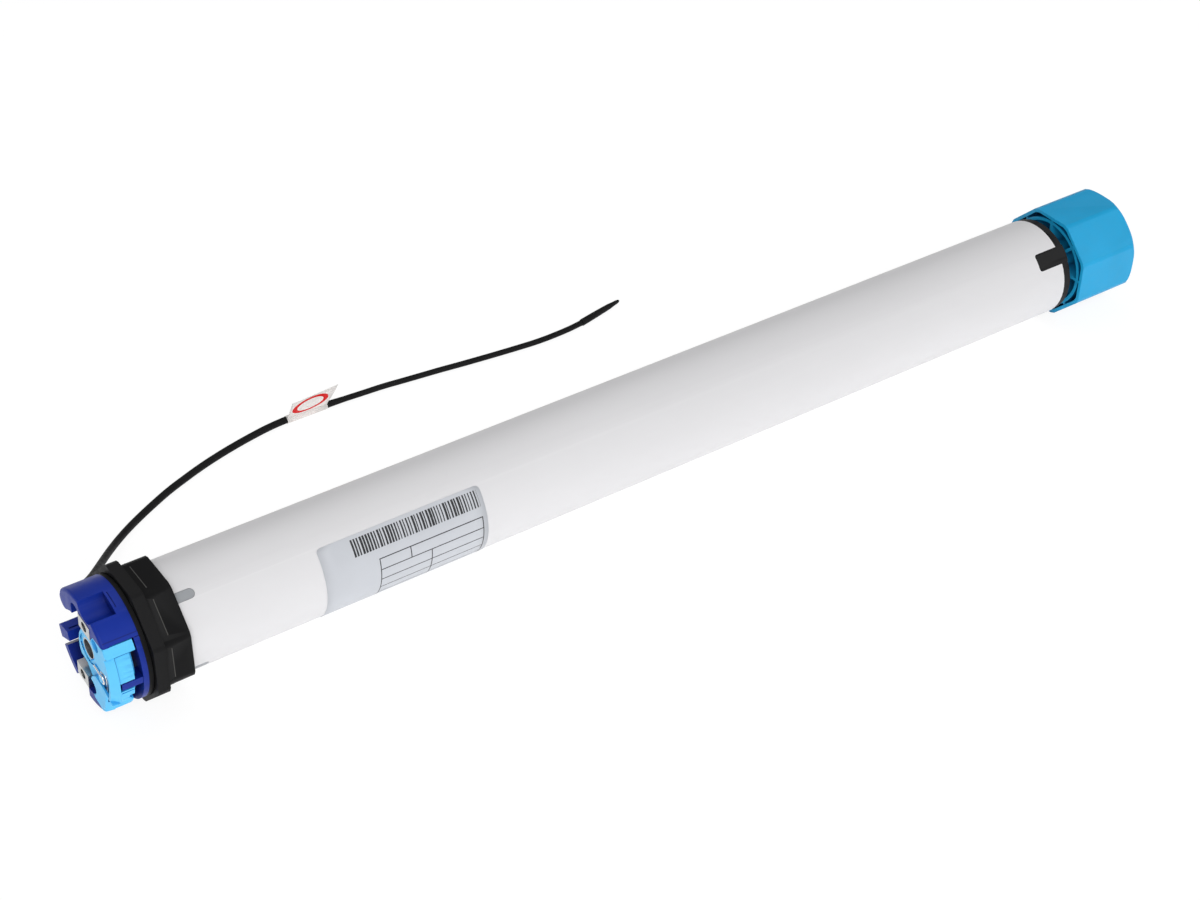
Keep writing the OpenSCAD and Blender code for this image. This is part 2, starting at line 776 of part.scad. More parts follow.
module antenna_wire() {
  stub = [[grommet_x, grommet_y1 - 4, grommet_z]];
  route = concat(stub, wire_route);
  color("#202020") swept_tube(route, [for (p = route) p[0] > thin_x ? thin_r : wire_r], 8);
}

module antenna_end_sleeve() {
  start = wire_route[len(wire_route) - 1];
  way = unit(sleeve_end - start);
  route = [for (s = [0, 0.3, 0.6, 0.8, 0.95, 1]) start + way * (sleeve_start + sleeve_len * s)];
  radii = [thin_r + 0.3, thin_r + 0.25, thin_r + 0.1, thin_r - 0.2, thin_r - 0.45, thin_r - 0.9];
  color("#151515") swept_tube(route, radii, 8);
}

module antenna_flag() {
  leaf = 0.3;
  color("white") translate([flag_x0, flag_y, flag_z]) rotate([flag_lean - 90, 0, 0])
    translate([0, -leaf / 2, wire_r + 0.1]) cube([flag_side, leaf, flag_side]);
}

// Encoder turned by the running ring
module pinion_place() {
  translate([0, pinion_orbit * cos(pinion_angle), pinion_orbit * sin(pinion_angle)]) children();
}

module encoder_pinion() {
  x1 = teeth_x1 - 0.1;
  color("ivory") pinion_place() difference() {
    union() {
      prism(teeth_x0 + 0.1, x1) rotate(pinion_angle) gear(pinion_teeth, encoder_module);
      disc(x1, x1 + hub_len, hub_r);
    }
    disc(teeth_x0 - 1, x1 + hub_len + 1, axle_r + run_fit);
  }
}

module encoder_axle() {
  color("silver") pinion_place() disc(head_len + 1, teeth_x1 + hub_len + 0.6, axle_r);
}

module encoder_magnet() {
  x1 = teeth_x1 - 0.1 + hub_len;
  color("dimgray") pinion_place() pipe(x1 - magnet_len, x1, hub_r + 1.3, hub_r + press_gap);
}

// Electronics
module board_carrier() {
  x1 = chassis_x1 + carrier_len;
  color("#3a3a3a") {
    difference() {
      union() {
        pipe(chassis_x1, chassis_x1 + 4, inner_r, inner_r - 2.4);
        pipe(x1 - 4, x1, inner_r, inner_r - 2.4);
        prism(chassis_x1, x1) intersection() {
          difference() {
            circle(r = inner_r);
            circle(r = inner_r - carrier_wall);
          }
          translate([-inner_r, -inner_r]) square([2 * inner_r, inner_r + board_z]);
        }
        prism(chassis_x1 + 1, board_x0 + board_len + 1) intersection() {
          circle(r = inner_r - carrier_wall / 2);
          translate([-inner_r, board_z - 2]) square([2 * inner_r, 2]);
        }
        for (x = [capacitor_x0 + 8, capacitor_x0 + capacitor_len - 12]) prism(x, x + 4) difference() {
          intersection() {
            circle(r = inner_r - carrier_wall / 2);
            translate([-inner_r, -inner_r]) square([2 * inner_r, inner_r + board_z]);
          }
          circle(r = capacitor_d / 2 + press_gap);
        }
      }
      disc(capacitor_x0 - 1, x1 + 1, capacitor_d / 2 + press_gap);
      prism(x1 - 5, x1 + 1) translate([-6, lead_z - lead_r - 0.4]) square([12, tube_r]);
    }
  }
}

// Block on the board; its start is a share of the board's length
module on_board(share, y, size) {
  translate([board_x0 + share * board_len, y - size[1] / 2, board_top]) cube(size);
}

module control_board() {
  color("darkgreen") translate([board_x0, -board_w / 2, board_z]) cube([board_len, board_w, board_t]);
}

module relays() {
  color("#1f4f9f") for (y = [-6.5, 6.5]) on_board(0.16, y, relay_size);
}

module transformer() {
  rim = 1.5;
  color("goldenrod") {
    on_board(0.42, 0, [transformer_size[0] + 2 * rim, transformer_size[1] + 2, 3]);
    translate([rim, 0, 0]) on_board(0.42, 0, transformer_size);
  }
}

module radio_module() {
  color("silver") on_board(0.76, 0, radio_size);
}

module board_connector() {
  color("ivory") difference() {
    translate([1, 0, 0]) on_board(0, 0, connector_size);
    for (i = [-2:2]) translate([board_x0, 3.2 * i - 1.1, board_top + 3]) cube([6, 2.2, 3]);
  }
}

module run_capacitor() {
  x1 = capacitor_x0 + capacitor_len;
  color("whitesmoke") {
    disc(capacitor_x0, x1, capacitor_d / 2);
    for (y = [-5, 5]) translate([0, y, 0]) disc(capacitor_x0 - 4, capacitor_x0, 1);
  }
}

module motor_leads() {
  x0 = board_x0 + board_len - 2;
  x1 = stator_x0 - winding_len / 2;
  z1 = 16;
  color("firebrick") for (y = lead_ys) translate([0, y, 0]) {
    translate([x0, 0, board_top]) cylinder(h = lead_z - board_top, r = lead_r);
    translate([x0, 0, lead_z]) sphere(r = lead_r);
    translate([0, 0, lead_z]) disc(x0, x1, lead_r);
    translate([x1, 0, lead_z]) sphere(r = lead_r);
    translate([x1, 0, z1]) cylinder(h = lead_z - z1, r = lead_r);
  }
}

// Motor
motor_bearing_r = 9.5;
motor_bearing_w = 6;
rotor_shaft_r = rotor_shaft_d / 2;
air_gap = 0.4;
stator_bore_r = rotor_d / 2 + air_gap;
winding_r0 = stator_bore_r + 1.6;
winding_r1 = 18.4;

module end_shield(x0, x1, seat_x0) {
  difference() {
    disc(x0, x1, inner_r);
    disc(x0 - 1, x1 + 1, rotor_shaft_r + 1.2);
    disc(seat_x0, seat_x0 + motor_bearing_w, motor_bearing_r + press_gap);
    prism(x0 - 1, x1 + 1) translate([-6, lead_z - lead_r - 0.4]) square([12, tube_r]);
  }
}

module rear_end_shield() {
  x1 = rear_shield_x0 + shield_t;
  color("darkgray") end_shield(rear_shield_x0, x1, x1 - motor_bearing_w);
}

module drive_end_shield() {
  color("darkgray") difference() {
    end_shield(brake_x0 - shield_t, brake_x0, brake_x0 - shield_t);
    guide_places() disc(brake_x0 - 4, brake_x0 + 1, guide_r + press_gap);
  }
}

module rotor_bearings() {
  color("silver") for (x = [rear_shield_x0 + shield_t - motor_bearing_w, brake_x0 - shield_t])
    pipe(x, x + motor_bearing_w, motor_bearing_r, rotor_shaft_r + run_fit);
}

module slot_plan(gap) {
  half = 9;
  for (i = [0:11]) ring_sector(winding_r1 - gap, winding_r0 + gap, 30 * i - half, 30 * i + half);
}

module stator_core() {
  color("slategray") difference() {
    pipe(stator_x0, stator_x1, inner_r, stator_bore_r);
    prism(stator_x0 - 1, stator_x1 + 1) slot_plan(0);
  }
}

module stator_windings() {
  color("peru") difference() {
    union() {
      pipe(stator_x0 - winding_len + 0.4, stator_x0 - 0.3, winding_r1, winding_r0);
      pipe(stator_x1 + 0.3, stator_x1 + winding_len - 0.4, winding_r1, winding_r0);
      prism(stator_x0 - 1, stator_x1 + 1) slot_plan(0.15);
    }
    for (y = lead_ys) translate([stator_x0 - winding_len / 2, y, 15])
      cylinder(h = 8, r = lead_r + press_gap);
  }
}

module rotor() {
  color("gray") {
    pipe(stator_x0 + 1, stator_x1 - 1, rotor_d / 2, rotor_shaft_r + press_gap);
    for (x = [stator_x0 - 3, stator_x1 - 1]) pipe(x, x + 4, rotor_d / 2 - 0.6, rotor_d / 2 - 4);
  }
}

module rotor_shaft() {
  color("silver") {
    disc(rear_shield_x0 + 1.5, stage1_x0 - 2, rotor_shaft_r);
    disc(stage1_x0 - 2, stage1_x0, gear_module * (sun_teeth / 2 - dedendum));
    prism(stage1_x0, stage1_x1 - free_gap) gear(sun_teeth, gear_module);
  }
}

// Brake: the spring presses the armature and the disc against the gearbox cover
lining_gap = 0.1;
brake_disc_t = 5;
armature_t = 3;
guide_r = 1.5;
guide_orbit = 19;
guide_angles = [30, 150, 270];
brake_disc_x1 = cover_x0 - lining_gap;
brake_disc_x0 = brake_disc_x1 - brake_disc_t;
armature_x1 = brake_disc_x0 - lining_gap;
armature_x0 = armature_x1 - armature_t;
coil_x1 = armature_x0 - brake_travel - 1;
spring_r = 8;
spring_wire_r = 0.9;
spring_turns = 4;

module guide_places() {
  for (a = guide_angles) rotate([a, 0, 0]) translate([0, guide_orbit, 0]) children();
}

module brake_coil() {
  color("saddlebrown") pipe(brake_x0, coil_x1, guide_orbit - guide_r - 1.5, spring_r + spring_wire_r + 1);
}

module brake_spring() {
  x0 = brake_x0 + spring_wire_r;
  x1 = armature_x0 - spring_wire_r - 0.1;
  steps = 10 * spring_turns;
  route = [for (i = [0:steps]) let (p = polar(spring_r, 36 * i)) [x0 + (x1 - x0) * i / steps, p[0], p[1]]];
  color("silver") swept_tube(route, [for (p = route) spring_wire_r], 6);
}

module brake_armature() {
  color("lightslategray") difference() {
    pipe(armature_x0, armature_x1, inner_r - 0.5, rotor_shaft_r + 1.5);
    guide_places() disc(armature_x0 - 1, armature_x1 + 1, guide_r + run_fit);
  }
}

module brake_guides() {
  color("silver") guide_places() disc(brake_x0 - 4, cover_x0 + 2, guide_r);
}

module brake_disc() {
  rim_r = guide_orbit - guide_r - 0.6;
  color("#4a3a30") pipe(brake_disc_x0, brake_disc_x1, rim_r, rotor_shaft_r + press_gap);
}

// Gearbox
module gearbox_cover() {
  color("#30343a") difference() {
    disc(cover_x0, stage1_x0, inner_r);
    disc(cover_x0 - 1, stage1_x0 + 1, rotor_shaft_r + free_gap);
    guide_places() disc(cover_x0 - 1, cover_x0 + 2, guide_r + press_gap);
  }
}

module gear_housing() {
  color("#30343a") difference() {
    disc(stage1_x0, cap_x0, inner_r);
    prism(stage1_x0 - 1, cap_x0 + 1) rotate(internal_turn) internal_gear_cut(internal_teeth, gear_module);
  }
}

module planet(k, x0, w) {
  a = planet_angles[k];
  color("tan") translate([0, planet_orbit * cos(a), planet_orbit * sin(a)]) difference() {
    prism(x0 + free_gap, x0 + free_gap + w) rotate(planet_turn) gear(planet_teeth, gear_module);
    disc(x0, x0 + w + 2 * free_gap, planet_pin_r + run_fit);
  }
}

// Carrier disc with its pressed pins, and the sun pinion of the next stage in front of it
module pin_places() {
  for (a = planet_angles) rotate([a, 0, 0]) translate([0, planet_orbit, 0]) children();
}

module carrier(x0, t, pin_len, sun_len) {
  difference() {
    union() {
      disc(x0, x0 + t, carrier_r);
      prism(x0 + t, x0 + t + sun_len) gear(sun_teeth, gear_module);
    }
    pin_places() disc(x0 - 1, x0 + t - 0.9, planet_pin_r + press_gap);
  }
  pin_places() disc(x0 - pin_len, x0 + t - 1, planet_pin_r);
}

module stage1_planet_1() {
  planet(0, stage1_x0, stage1_w);
}

module stage1_planet_2() {
  planet(1, stage1_x0, stage1_w);
}

module stage1_planet_3() {
  planet(2, stage1_x0, stage1_w);
}

module stage2_planet_1() {
  planet(0, stage2_x0, stage2_w);
}

module stage2_planet_2() {
  planet(1, stage2_x0, stage2_w);
}

module stage2_planet_3() {
  planet(2, stage2_x0, stage2_w);
}

module stage3_planet_1() {
  planet(0, stage3_x0, stage3_w);
}

module stage3_planet_2() {
  planet(1, stage3_x0, stage3_w);
}

module stage3_planet_3() {
  planet(2, stage3_x0, stage3_w);
}

module stage1_carrier() {
  color("silver") carrier(stage1_x1, disc1_t, stage1_w + free_gap, stage2_w + free_gap);
}

module stage2_carrier() {
  color("silver") carrier(stage2_x1, disc2_t, stage2_w + free_gap, stage3_w + free_gap);
}

// Output
module shaft_plan(gap) {
  intersection() {
    circle(r = shaft_r + gap);
    square([2 * shaft_d, 2 * (shaft_flat + gap)], center = true);
  }
}

module output_shaft() {
  flats_x0 = wheel_x0 + 2;
  color("silver") {
    difference() {
      union() {
        disc(stage3_x1, stage3_x1 + disc3_t, carrier_r);
        disc(stage3_x1, flats_x0, shaft_r);
        prism(flats_x0, shaft_x1) shaft_plan(0);
      }
      pin_places() disc(stage3_x1 - 1, stage3_x1 + disc3_t - 0.9, planet_pin_r + press_gap);
      disc(shaft_x1 - fixing_len - 2, shaft_x1 + 1, fixing_r);
    }
    pin_places() disc(stage3_x1 - stage3_w - free_gap, stage3_x1 + disc3_t - 1, planet_pin_r);
  }
}

module drive_end_cap() {
  color("#1c1c1c") difference() {
    union() {
      disc(cap_x0, tube_x1, inner_r);
      disc(tube_x1, tube_x1 + cap_flange, tube_r - 0.4);
      disc(tube_x1, boss_x1, boss_r);
      intersection() {
        disc(cap_x0, tube_x1 + cap_flange, tube_r);
        notch_keys(push_gap, tube_x1 + cap_flange);
      }
    }
    disc(cap_x0 - 1, boss_x1 + 1, shaft_r + free_gap);
    disc(cap_x0 - 1, cap_x0 + bearing_w, bearing_r + press_gap);
    disc(boss_x1 - seal_w - bearing_w, boss_x1 + 1, bearing_r + press_gap);
  }
}

module output_bearings() {
  color("silver") for (x = [cap_x0, boss_x1 - seal_w - bearing_w])
    pipe(x, x + bearing_w, bearing_r, shaft_r + run_fit);
}

module shaft_seal() {
  color("#303030") pipe(boss_x1 - seal_w, boss_x1, bearing_r, shaft_r + run_fit);
}

// Half outline of the wheel with a rounded far edge
function wheel_outline(r, rounding) = concat([[0, -1], [r + rounding, -1]],
  [for (a = [0:15:90]) [r, wheel_len - rounding] + polar(rounding, a)], [[0, wheel_len]]);

module drive_wheel() {
  rounding = 3;
  ring_r = wheel_af / 2 - wheel_wall - 1;
  rib_t = 1.4;
  hub_r_out = shaft_r + 3.6;
  web_x0 = wheel_x1 - hub_seat - 2.4;
  color("deepskyblue") difference() {
    intersection() {
      union() {
        difference() {
          prism(wheel_x0, wheel_x1) octagon(wheel_af);
          prism(wheel_x0 - 1, web_x0) octagon(wheel_af - 2 * wheel_wall);
        }
        pipe(wheel_x0 + 0.6, wheel_x1 - 1, ring_r, ring_r - wheel_wall);
        disc(wheel_x0 + 0.6, wheel_x1 - 1, hub_r_out);
        for (a = [0:45:315]) rotate([a, 0, 0])
          translate([wheel_x0 + 0.6, hub_r_out - 1, -rib_t / 2])
            cube([wheel_len - 2, wheel_af / 2 - hub_r_out, rib_t]);
      }
      along_x(wheel_x0) rotate_extrude() polygon(wheel_outline(wheel_af / 2 - 1.2, rounding));
    }
    prism(wheel_x0 - 1, shaft_x1 + 0.2) shaft_plan(press_gap);
    disc(wheel_x0 - 1, wheel_x0 + 2.2, shaft_r + 0.3);
    disc(shaft_x1 + 0.2, wheel_x1 + 1, 8);
  }
}

module wheel_screw() {
  seat_x = shaft_x1 + 0.2;
  color("silver") {
    disc(seat_x, seat_x + 1.4, 7.4);
    difference() {
      disc(seat_x + 1.4, seat_x + 4, 4.6);
      prism(seat_x + 2, seat_x + 5) circle(r = 2.3, $fn = 6);
    }
    disc(shaft_x1 - fixing_len, seat_x + 1, fixing_r - press_gap);
  }
}

motor_tube();
rating_label();
head_housing();
bearing_insert();
socket_bush();
captive_nuts();
retaining_clip();
bearing_neck();
running_ring();
head_chassis();
head_seal();
head_screws();
cable_socket();
contact_pins();
antenna_grommet();
antenna_wire();
antenna_end_sleeve();
antenna_flag();
encoder_pinion();
encoder_axle();
encoder_magnet();
board_carrier();
control_board();
relays();
transformer();
radio_module();
board_connector();
run_capacitor();
motor_leads();
rear_end_shield();
drive_end_shield();
rotor_bearings();
stator_core();
stator_windings();
rotor();
rotor_shaft();
brake_coil();
brake_spring();
brake_armature();
brake_guides();
brake_disc();
gearbox_cover();
gear_housing();
stage1_planet_1();
stage1_planet_2();
stage1_planet_3();
stage1_carrier();
stage2_planet_1();
stage2_planet_2();
stage2_planet_3();
stage2_carrier();
stage3_planet_1();
stage3_planet_2();
stage3_planet_3();
output_shaft();
drive_end_cap();
output_bearings();
shaft_seal();
drive_wheel();
wheel_screw();
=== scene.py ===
import json
import math

import bmesh
import bpy
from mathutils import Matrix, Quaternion, Vector


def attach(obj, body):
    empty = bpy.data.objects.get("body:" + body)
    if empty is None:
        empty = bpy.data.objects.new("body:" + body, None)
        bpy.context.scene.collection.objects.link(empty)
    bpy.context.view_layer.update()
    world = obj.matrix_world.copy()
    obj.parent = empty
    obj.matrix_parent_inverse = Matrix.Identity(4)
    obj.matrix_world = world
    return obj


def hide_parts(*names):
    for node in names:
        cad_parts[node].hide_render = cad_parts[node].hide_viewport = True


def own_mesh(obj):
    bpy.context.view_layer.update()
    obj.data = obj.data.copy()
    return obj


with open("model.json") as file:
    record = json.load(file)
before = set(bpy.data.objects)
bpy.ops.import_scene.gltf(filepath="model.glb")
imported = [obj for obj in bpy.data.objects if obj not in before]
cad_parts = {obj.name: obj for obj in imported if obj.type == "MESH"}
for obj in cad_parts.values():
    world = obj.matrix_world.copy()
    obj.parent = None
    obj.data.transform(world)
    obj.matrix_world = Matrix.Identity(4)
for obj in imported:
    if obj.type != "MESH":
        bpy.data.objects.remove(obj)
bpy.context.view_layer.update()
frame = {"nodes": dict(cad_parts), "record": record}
nodes = frame["nodes"]
scene = bpy.context.scene
MM = 0.001


def collect(ob):
    scene.collection.objects.link(ob)
    return ob


# Camera at the photograph's place, fitted to the outlines of the tube, the wheel and the head
TARGET = Vector((0.23455, 0.0, -0.004659))
AZ, EL, ROLL = math.radians(-35.543), math.radians(37.499), math.radians(1.319)
DIST, LENS, SENSOR = 0.95999, 68.262, 36.0
cam_data = bpy.data.cameras.new("camera")
cam_data.sensor_width = SENSOR
cam_data.lens = LENS
cam_data.clip_start = 0.01
cam = collect(bpy.data.objects.new("camera", cam_data))
offset = Vector((math.cos(EL) * math.sin(AZ), -math.cos(EL) * math.cos(AZ), math.sin(EL))) * DIST
cam.location = TARGET + offset
cam.rotation_euler = ((-offset).to_track_quat("-Z", "Y") @ Quaternion((0, 0, 1), ROLL)).to_euler()
scene.camera = cam


# Materials
MIDDLE = (0.3, 0.7)             # the part of a noise's range that its patches cover


class Tree:
    """A material with a Principled shader and short ways to add nodes."""

    def __init__(self, name):
        self.mat = bpy.data.materials.new(name)
        self.mat.use_nodes = True
        self.t = self.mat.node_tree
        self.shader = self.t.nodes["Principled BSDF"]
        self.coord = self.t.nodes.new("ShaderNodeTexCoord")

    def node(self, kind, **values):
        n = self.t.nodes.new(kind)
        for k, v in values.items():
            setattr(n, k, v)
        return n

    def link(self, a, b):
        self.t.links.new(a, b)

    def feed(self, socket, value):
        if isinstance(value, (int, float)):
            socket.default_value = value
        elif isinstance(value, (tuple, list)):
            missing = len(socket.default_value) - len(value)
            socket.default_value = tuple(value) + (1.0,) * missing
        else:
            self.link(value, socket)

    def math(self, op, a, b=None, c=None, clamp=False):
        n = self.node("ShaderNodeMath", operation=op, use_clamp=clamp)
        for i, v in enumerate((a, b, c)):
            if v is not None:
                self.feed(n.inputs[i], v)
        return n.outputs[0]

    def noise(self, scale, detail=4.0, rough=0.55, stretch=None, distort=0.0):
        n = self.node("ShaderNodeTexNoise")
        n.inputs["Scale"].default_value = scale
        n.inputs["Detail"].default_value = detail
        n.inputs["Roughness"].default_value = rough
        n.inputs["Distortion"].default_value = distort
        if stretch:
            m = self.node("ShaderNodeMapping")
            m.inputs["Scale"].default_value = stretch
            self.link(self.coord.outputs["Object"], m.inputs["Vector"])
            self.link(m.outputs[0], n.inputs["Vector"])
        else:
            self.link(self.coord.outputs["Object"], n.inputs["Vector"])
        return n.outputs["Fac"]

    def ramp(self, fac, start, end, at_start=0.0, at_end=1.0):
        n = self.node("ShaderNodeMapRange")
        self.feed(n.inputs["Value"], fac)
        ends = {"From Min": start, "From Max": end, "To Min": at_start, "To Max": at_end}
        for k, v in ends.items():
            n.inputs[k].default_value = v
        return n.outputs[0]

    def mix(self, fac, a, b):
        n = self.node("ShaderNodeMix", data_type="RGBA")
        self.feed(n.inputs["Factor"], fac)
        self.feed(n.inputs["A"], a)
        self.feed(n.inputs["B"], b)
        return n.outputs["Result"]

    def bump(self, height, strength, distance):
        n = self.node("ShaderNodeBump")
        n.inputs["Strength"].default_value = strength
        n.inputs["Distance"].default_value = distance
        self.link(height, n.inputs["Height"])
        self.link(n.outputs[0], self.shader.inputs["Normal"])

    def place(self):
        """Object coordinates in millimetres: x, y and z."""
        n = self.node("ShaderNodeSeparateXYZ")
        self.link(self.coord.outputs["Object"], n.inputs[0])
        return [self.math("MULTIPLY", n.outputs[i], 1 / MM) for i in range(3)]

    def between(self, value, low, high):
        above = self.math("GREATER_THAN", value, low)
        return self.math("MULTIPLY", above, self.math("LESS_THAN", value, high))

    def length(self, a, b):
        """Length of the vector (a, b)."""
        squares = self.math("ADD", self.math("MULTIPLY", a, a), self.math("MULTIPLY", b, b))
        return self.math("SQRT", squares)

    def edges(self, low=0.52, high=0.6):
        """1 on sharp outer edges, 0 elsewhere."""
        g = self.node("ShaderNodeNewGeometry")
        return self.ramp(g.outputs["Pointiness"], low, high)

    def patches(self, fac, colour, dark, light, span=MIDDLE):
        """The colour, wandering between two tints of it."""
        return self.mix(self.ramp(fac, *span), tint(colour, dark), tint(colour, light))

    def roughness(self, fac, low, high, span=MIDDLE):
        self.link(self.ramp(fac, *span, low, high), self.shader.inputs["Roughness"])

    def colour(self, base):
        self.link(base, self.shader.inputs["Base Color"])

    def shine(self, level):
        self.shader.inputs["Specular IOR Level"].default_value = level


def srgb(r, g, b):
    """Linear colour of an 8-bit sRGB colour."""
    return tuple((c / 255 / 12.92) if c <= 10 else ((c / 255 + 0.055) / 1.055) ** 2.4
                 for c in (r, g, b))


def tint(c, k):
    return tuple(min(1.0, v * k) for v in c)


GRAIN_SCALE, GRAIN_DEPTH = 2600.0, 0.00003
WORN_LIFT, WORN_GAIN = 0.05, 1.25       # how much lighter a worn edge is
PAINTED_SHADE_SPAN = (0.35, 0.9)               # openness from the painted hollow shade to the plain colour
FLAT_HALF, FLAT_LINE = 22.5, 16.5       # half an octagon's flat and half its painted highlight line, in degrees
# strength of a painted shadow line and of a painted highlight line
PAINTED_LINE_STRENGTH = 0.8


def plastic(name, colour, rough=0.45, spread=0.05, wear=0.12, shine=0.35, painted_shade=None, reach=0.005,
            lines=()):
    """Moulded plastic. The optional hollow colour is painted shade, laid into hollows within that
    reach. lines are (angles, x range, least radius, colour) of painted shadow and highlight lines;
    one without angles lies on the middle of each flat of an octagon."""
    m = Tree(name)
    cloud = m.noise(60.0, 3.0)
    fine = m.noise(GRAIN_SCALE, 3.0)
    base = m.patches(cloud, colour, 1 - spread, 1 + spread)
    worn = tint(tuple(v + WORN_LIFT for v in colour), WORN_GAIN)
    base = m.mix(m.math("MULTIPLY", m.edges(), wear), base, worn)
    # painted shade: the hollow colour is blended in wherever ambient occlusion finds a recess
    if painted_shade:
        hollow = m.node("ShaderNodeAmbientOcclusion", samples=8)
        hollow.inputs["Distance"].default_value = reach
        base = m.mix(m.ramp(hollow.outputs["AO"], *PAINTED_SHADE_SPAN), painted_shade, base)
    # painted lines: colour drawn in for a groove's shadow and for a rib edge catching light; the
    # colour here is painted light, not print
    if lines:
        x, y, z = m.place()
        angle = m.math("DEGREES", m.math("ARCTAN2", z, y))
        radius = m.length(y, z)
        for angles, (x0, x1), least, ink_and_painted_light in lines:
            if angles:
                along = m.between(angle, *angles)
            else:
                along = m.math("LESS_THAN", m.math("PINGPONG", angle, FLAT_HALF), FLAT_LINE)
            painted_line = m.math("MULTIPLY", along, m.between(x, x0, x1))
            painted_line = m.math("MULTIPLY", painted_line, m.math("GREATER_THAN", radius, least))
            base = m.mix(m.math("MULTIPLY", painted_line, PAINTED_LINE_STRENGTH), base, ink_and_painted_light)
    m.colour(base)
    m.roughness(m.noise(240.0, 4.0), rough - 0.06, rough + 0.07)
    m.shine(shine)
    m.bump(fine, 0.35, GRAIN_DEPTH)
    return m.mat


BRUSH_DEPTH = 0.00002


def metal(name, colour, rough=0.3, brush=(40.0, 900.0, 900.0)):
    """Bare metal with brushed lines and a few darker stains."""
    m = Tree(name)
    lines = m.noise(1.0, 3.0, stretch=brush)
    base = m.patches(lines, colour, 0.86, 1.08)
    stain = m.ramp(m.noise(90.0, 5.0), 0.62, 0.75, 0.0, 0.25)
    base = m.mix(stain, base, tint(colour, 0.6))
    m.colour(base)
    m.shader.inputs["Metallic"].default_value = 1.0
    m.roughness(lines, rough - 0.08, rough + 0.12, span=(0.2, 0.8))
    m.bump(lines, 0.4, BRUSH_DEPTH)
    return m.mat


SMUDGE_GREY, BARE_GREY = (0.52, 0.53, 0.55), (0.45, 0.45, 0.46)
PEEL_DEPTH = 0.00004


def paint(name, colour):
    """Powder paint with faint clouds, smudges and worn edges."""
    m = Tree(name)
    peel = m.noise(700.0, 3.0, 0.6)
    cloud = m.noise(14.0, 4.0, stretch=(0.5, 1.6, 1.6))
    base = m.patches(cloud, colour, 0.975, 1.015, span=(0.35, 0.7))
    smudge = m.ramp(m.noise(55.0, 6.0, 0.7, distort=0.6), 0.66, 0.8, 0.0, 0.10)
    base = m.mix(smudge, base, SMUDGE_GREY)
    base = m.mix(m.math("MULTIPLY", m.edges(0.53, 0.62), 0.35), base, BARE_GREY)
    m.colour(base)
    m.roughness(m.noise(120.0, 4.0), 0.4, 0.52)
    m.shine(0.45)
    m.bump(peel, 0.25, PEEL_DEPTH)
    return m.mat


RUBBER_DEPTH = 0.00003


def rubber(name, colour, rough=0.55):
    m = Tree(name)
    m.colour(m.patches(m.noise(180.0, 5.0), colour, 0.8, 1.35))
    m.roughness(m.noise(500.0, 3.0), rough - 0.08, rough + 0.1)
    m.shine(0.14)
    m.bump(m.noise(3500.0, 2.0), 0.4, RUBBER_DEPTH)
    return m.mat


# Rating label: a plain printed sticker with a pattern of bars and an empty ruled table.
# Places on it are x along the tube and the distance down from its upper edge, in mm.
TUBE_R = 22.5
LABEL_X0, LABEL_X1 = 91.1, 164.5
LABEL_TOP = 130.7                       # angle of the upper edge, in degrees
LABEL_WIDE, LABEL_CORNER = 50.0, 2.0
LABEL_LOW, LABEL_HIGH = TUBE_R + 0.05, TUBE_R + 0.16
PRINT_R = TUBE_R + 0.1
BARS_X, BARS_DOWN = (105.2, 162.6), (1.6, 8.7)
BAR_STEP, BAR_LEAST, BAR_SPREAD = 1.3, 0.34, 0.48       # widths are shares of the step
TABLE_X, TABLE_DOWN = (114.9, 162.5), (12.8, 43.6)
ROW_FIRST, ROW_STEP, ROW_BLANK = 13.05, 5.0, 0.455      # half the blank share of a row
UPRIGHT_HALF = 0.22
UPRIGHTS = ((115.1, 13.0, 43.3), (129.0, 13.0, 18.1), (138.2, 18.0, 43.3), (162.3, 13.0, 43.3))
INK = srgb(34, 34, 37)
PAPER_DEPTH = 0.00002


def label_paper(name, colour):
    m = Tree(name)
    x, y, z = m.place()
    behind = [m.math("MULTIPLY", v, -1.0) for v in (z, y)]
    turn = m.math("DEGREES", m.math("ARCTAN2", *behind))
    down = m.math("MULTIPLY", m.math("ADD", turn, 180.0 - LABEL_TOP), math.radians(PRINT_R))
    cell = m.node("ShaderNodeTexWhiteNoise", noise_dimensions="1D")
    step = m.math("DIVIDE", x, BAR_STEP)
    m.link(m.math("FLOOR", step), cell.inputs["W"])
    width = m.math("MULTIPLY_ADD", cell.outputs["Value"], BAR_SPREAD, BAR_LEAST)
    bars = m.math("LESS_THAN", m.math("FRACT", step), width)
    field = m.math("MULTIPLY", m.between(x, *BARS_X), m.between(down, *BARS_DOWN))
    bars = m.math("MULTIPLY", bars, field)
    row = m.math("FRACT", m.math("DIVIDE", m.math("SUBTRACT", down, ROW_FIRST), ROW_STEP))
    off_middle = m.math("ABSOLUTE", m.math("SUBTRACT", row, 0.5))
    lines = m.math("GREATER_THAN", off_middle, ROW_BLANK)
    lines = m.math("MULTIPLY", lines, m.between(down, *TABLE_DOWN))
    for at, low, high in UPRIGHTS:
        upright = m.between(x, at - UPRIGHT_HALF, at + UPRIGHT_HALF)
        upright = m.math("MULTIPLY", upright, m.between(down, low, high))
        lines = m.math("MAXIMUM", lines, upright)
    lines = m.math("MULTIPLY", lines, m.between(x, *TABLE_X))
    printed = m.math("MAXIMUM", bars, lines)
    grain = m.noise(900.0, 3.0)
    paper = m.patches(m.noise(40.0, 4.0), colour, 0.97, 1.03)
    cover = m.math("MULTIPLY", printed, m.ramp(grain, 0.2, 0.5, 0.86, 0.97))
    m.colour(m.mix(cover, paper, INK))
    m.roughness(m.noise(160.0, 4.0), 0.36, 0.46)
    m.shine(0.3)
    m.bump(grain, 0.2, PAPER_DEPTH)
    return m.mat


